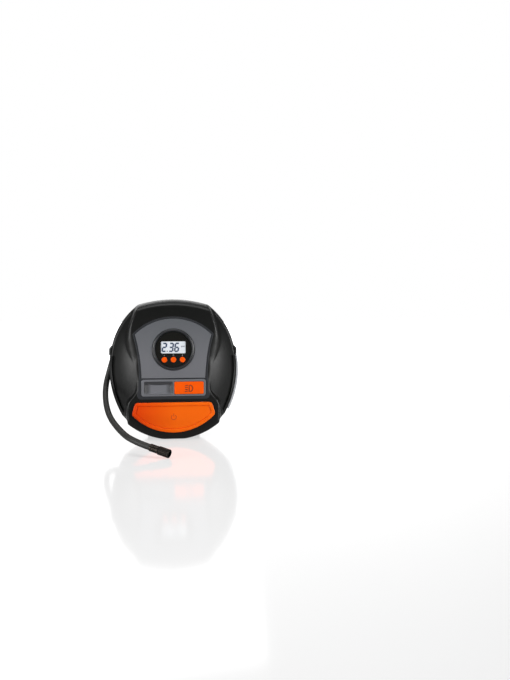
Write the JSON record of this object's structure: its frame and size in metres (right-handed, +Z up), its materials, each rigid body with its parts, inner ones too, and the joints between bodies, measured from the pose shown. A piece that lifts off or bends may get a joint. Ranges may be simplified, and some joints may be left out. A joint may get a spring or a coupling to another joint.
{
  "type": "tyre inflator with gauge",
  "caption": "Hand-carried electric tyre inflator with a round digital gauge, push keys, a wide power button, a side lamp and a short hose with a screw-on connector.",
  "frame": {"origin": "under the middle of the body, on the surface that it stands on", "axes": "+Z up, -Y out of the face with the gauge, +X to the right of it"},
  "size_m": [0.1792, 0.1971, 0.1817],
  "materials": {
    "black_plastic": "satin",
    "dark_plastic": "satin",
    "grey_plastic": "satin",
    "orange_plastic": "satin",
    "gloss_black": "gloss",
    "display_glass": "gloss",
    "frosted_lens": "frosted",
    "board": "satin",
    "chip": "matt",
    "steel": "satin",
    "brass": "satin",
    "aluminium": "cast",
    "nylon": "satin",
    "rubber": "matt"
  },
  "bodies": {
    "housing": {"front_shell": "black_plastic", "mid_frame": "black_plastic", "rear_shell": "black_plastic", "lamp_lens": "frosted_lens", "lamp_board": "board", "face_frame": "dark_plastic", "gauge_plate": "grey_plastic", "key_plate": "grey_plastic", "gauge_bezel": "dark_plastic", "display_mask": "gloss_black", "display_glass": "display_glass", "display_light": "nylon", "display_board": "board", "tip_switches": "chip", "key_board": "board", "key_switches": "chip", "power_bracket": "steel", "power_switch": "chip", "power_springs": "steel", "bracket_screws": "steel", "motor_can": "steel", "motor_cap": "nylon", "gear_stud": "steel", "stud_clip": "steel", "drive_frame": "steel", "motor_screws": "steel", "frame_screws": "steel", "cylinder": "aluminium", "cylinder_head": "aluminium", "head_screws": "steel", "hose_gland": "black_plastic", "hose": "rubber", "hose_ferrule": "gloss_black", "connector_core": "brass", "connector_seal": "rubber", "air_tube": "rubber", "main_board": "board", "board_parts": "chip", "pressure_sensor": "chip", "sensor_tube": "rubber", "rubber_feet": "rubber", "lead_gland": "rubber", "shell_screws": "steel"},
    "power": {"power_button": "orange_plastic"},
    "light": {"light_key": "orange_plastic"},
    "dished": {"dished_key": "grey_plastic"},
    "minus": {"minus_button": "orange_plastic"},
    "mode": {"mode_button": "orange_plastic"},
    "plus": {"plus_button": "orange_plastic"},
    "nut": {"connector_nut": "gloss_black"},
    "rotor": {"motor_shaft": "steel", "pinion": "brass", "cooling_fan": "nylon"},
    "crank": {"crank_gear": "nylon"},
    "piston": {"piston_rod": "nylon", "piston_cup": "rubber"}
  },
  "joints": [
    {"name": "power_press", "type": "slide", "parent": "housing", "child": "power", "axis": [0, 1, 0], "range_m": [0, 0.0025], "stiffness_N_per_m": 600, "springref_m": -0.0005, "deforming": ["power_springs"]},
    {"name": "light_press", "type": "slide", "parent": "housing", "child": "light", "axis": [0, 1, 0], "range_m": [0, 0.0012], "stiffness_N_per_m": 400, "springref_m": -0.0005},
    {"name": "dished_press", "type": "slide", "parent": "housing", "child": "dished", "axis": [0, 1, 0], "range_m": [0, 0.0012], "stiffness_N_per_m": 400, "springref_m": -0.0005},
    {"name": "minus_press", "type": "slide", "parent": "housing", "child": "minus", "axis": [0, 1, 0], "range_m": [0, 0.0008], "stiffness_N_per_m": 300, "springref_m": -0.0005},
    {"name": "mode_press", "type": "slide", "parent": "housing", "child": "mode", "axis": [0, 1, 0], "range_m": [0, 0.0008], "stiffness_N_per_m": 300, "springref_m": -0.0005},
    {"name": "plus_press", "type": "slide", "parent": "housing", "child": "plus", "axis": [0, 1, 0], "range_m": [0, 0.0008], "stiffness_N_per_m": 300, "springref_m": -0.0005},
    {"name": "nut_spin", "type": "hinge", "parent": "housing", "child": "nut", "pos_m": [-0.01714, -0.14452, 0.0085], "axis": [0.8725, -0.4264, -0.2388], "continuous": true},
    {"name": "crank_spin", "type": "hinge", "parent": "housing", "child": "crank", "pos_m": [0.016, 0.009, 0.075], "axis": [1, 0, 0], "continuous": true},
    {"name": "motor_spin", "type": "hinge", "parent": "housing", "child": "rotor", "pos_m": [0, 0.009, 0.045], "axis": [1, 0, 0], "continuous": true},
    {"name": "piston_slide", "type": "slide", "parent": "housing", "child": "piston", "axis": [0, 0, -1], "range_m": [0, 0.016]}
  ],
  "couplings": [
    {"joint": "motor_spin", "follows": "crank_spin", "ratio": -4}
  ]
}
